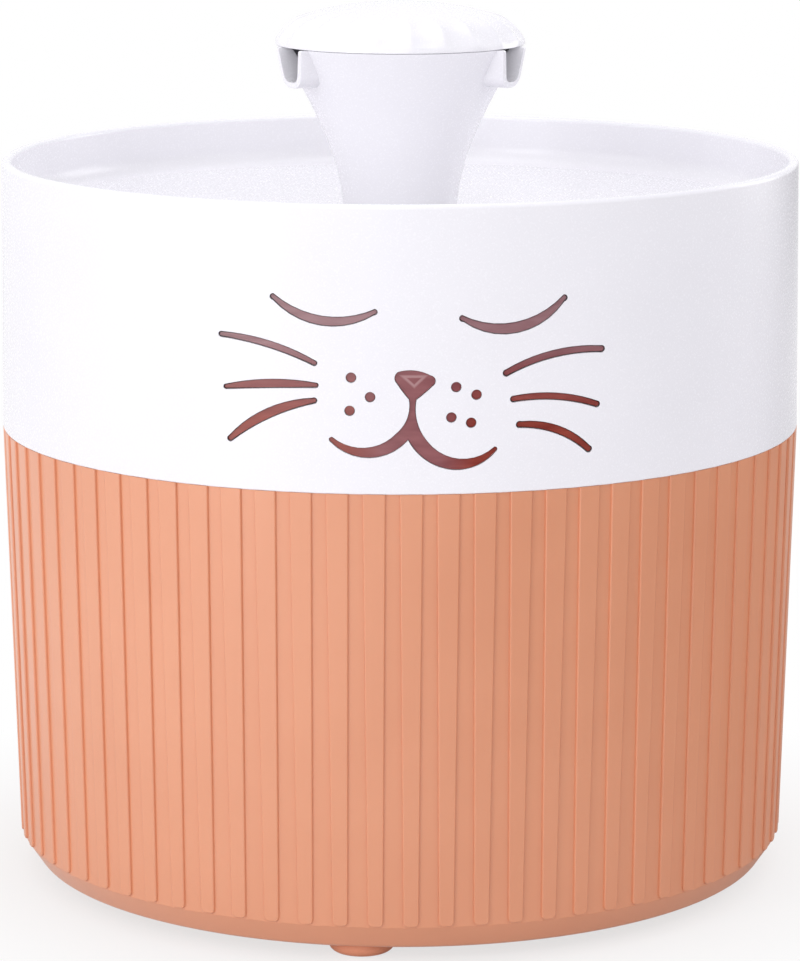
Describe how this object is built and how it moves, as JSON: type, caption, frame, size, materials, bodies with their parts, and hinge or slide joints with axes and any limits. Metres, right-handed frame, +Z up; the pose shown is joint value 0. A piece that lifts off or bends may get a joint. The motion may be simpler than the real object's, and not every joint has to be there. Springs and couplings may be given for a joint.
{
  "type": "pet water fountain",
  "caption": "Round tabletop drinking fountain for cats and small dogs: a ribbed tank under a bowl with a face in its skirt, and a tulip spout with a scalloped cap.",
  "frame": {"origin": "on the ground, at the middle of the tank's round base", "axes": "+Z up along the spout; the face looks towards -Y; the power inlet is at +Y"},
  "size_m": [0.18, 0.18, 0.1971],
  "materials": {
    "coral_plastic": "moulded polypropylene, satin",
    "coral_rubber": "moulded silicone rubber",
    "white_plastic": "moulded ABS, glossy",
    "smoke_plastic": "tinted clear polystyrene, glossy",
    "clear_plastic": "natural polypropylene, milky",
    "pump_plastic": "moulded ABS, black",
    "grey_plastic": "moulded ABS, dark grey",
    "potting": "cast epoxy resin",
    "silicone": "clear silicone rubber",
    "black_rubber": "nitrile rubber",
    "lead_sheath": "PVC cable sheath",
    "core_steel": "stacked silicon steel sheets",
    "screw_steel": "stainless steel",
    "copper": "enamelled copper wire",
    "contact_metal": "nickel-plated brass",
    "shaft_ceramic": "alumina, ground",
    "ferrite": "sintered ferrite",
    "rotor_plastic": "moulded polyacetal",
    "foam": "open-cell polyurethane foam",
    "cotton": "needled polyester wadding",
    "carbon": "activated carbon grains",
    "resin_beads": "ion exchange beads"
  },
  "bodies": {
    "base": {"reservoir_tank": "coral_plastic", "tank_feet": "coral_rubber", "inlet_socket": "pump_plastic", "inlet_gasket": "black_rubber", "inlet_nut": "pump_plastic", "inlet_contact_sleeve": "contact_metal", "inlet_contact_pin": "contact_metal", "pump_lead": "lead_sheath", "pump_housing": "pump_plastic", "pump_suction_cups": "silicone", "stator_core": "core_steel", "stator_coils": "copper", "potting_plug": "potting", "pump_rear_cover": "pump_plastic", "pump_cover_screws": "screw_steel", "rear_shaft_bush": "black_rubber", "front_shaft_bush": "black_rubber", "impeller_shaft": "shaft_ceramic", "volute_cover": "grey_plastic", "riser_tube": "clear_plastic", "riser_seal_ring": "silicone"},
    "rotor": {"impeller": "rotor_plastic", "rotor_magnet": "ferrite"},
    "strainer": {"intake_strainer": "pump_plastic", "prefilter_sponge": "foam"},
    "regulator": {"flow_regulator": "grey_plastic"},
    "basket": {"filter_basket": "clear_plastic", "filter_foam_pad": "foam", "filter_carbon_bed": "carbon", "filter_resin_bed": "resin_beads", "filter_cotton_pad": "cotton"},
    "grate": {"filter_grate": "clear_plastic"},
    "bowl": {"drinking_bowl": "white_plastic", "face_window": "smoke_plastic"},
    "spout": {"spout_column": "white_plastic"},
    "cap": {"spout_cap": "white_plastic"}
  },
  "joints": [
    {"name": "impeller_spin", "type": "hinge", "parent": "base", "child": "rotor", "pos_m": [-0.008, 0, 0.025], "axis": [0, 1, 0], "continuous": true},
    {"name": "strainer_pull", "type": "slide", "parent": "base", "child": "strainer", "axis": [0, -1, 0], "range_m": [0, 0.02]},
    {"name": "regulator_turn", "type": "hinge", "parent": "strainer", "child": "regulator", "pos_m": [-0.008, -0.021, 0.025], "axis": [0, -1, 0], "range_deg": [0, 60]},
    {"name": "basket_lift", "type": "slide", "parent": "base", "child": "basket", "axis": [0, 0, 1], "range_m": [0, 0.012]},
    {"name": "grate_lift", "type": "slide", "parent": "basket", "child": "grate", "axis": [0, 0, 1], "range_m": [0, 0.008]},
    {"name": "bowl_lift", "type": "slide", "parent": "base", "child": "bowl", "axis": [0, 0, 1], "range_m": [0, 0.095]},
    {"name": "spout_lift", "type": "slide", "parent": "bowl", "child": "spout", "axis": [0, 0, 1], "range_m": [0, 0.045]},
    {"name": "cap_lift", "type": "slide", "parent": "spout", "child": "cap", "axis": [0, 0, 1], "range_m": [0, 0.03]}
  ]
}
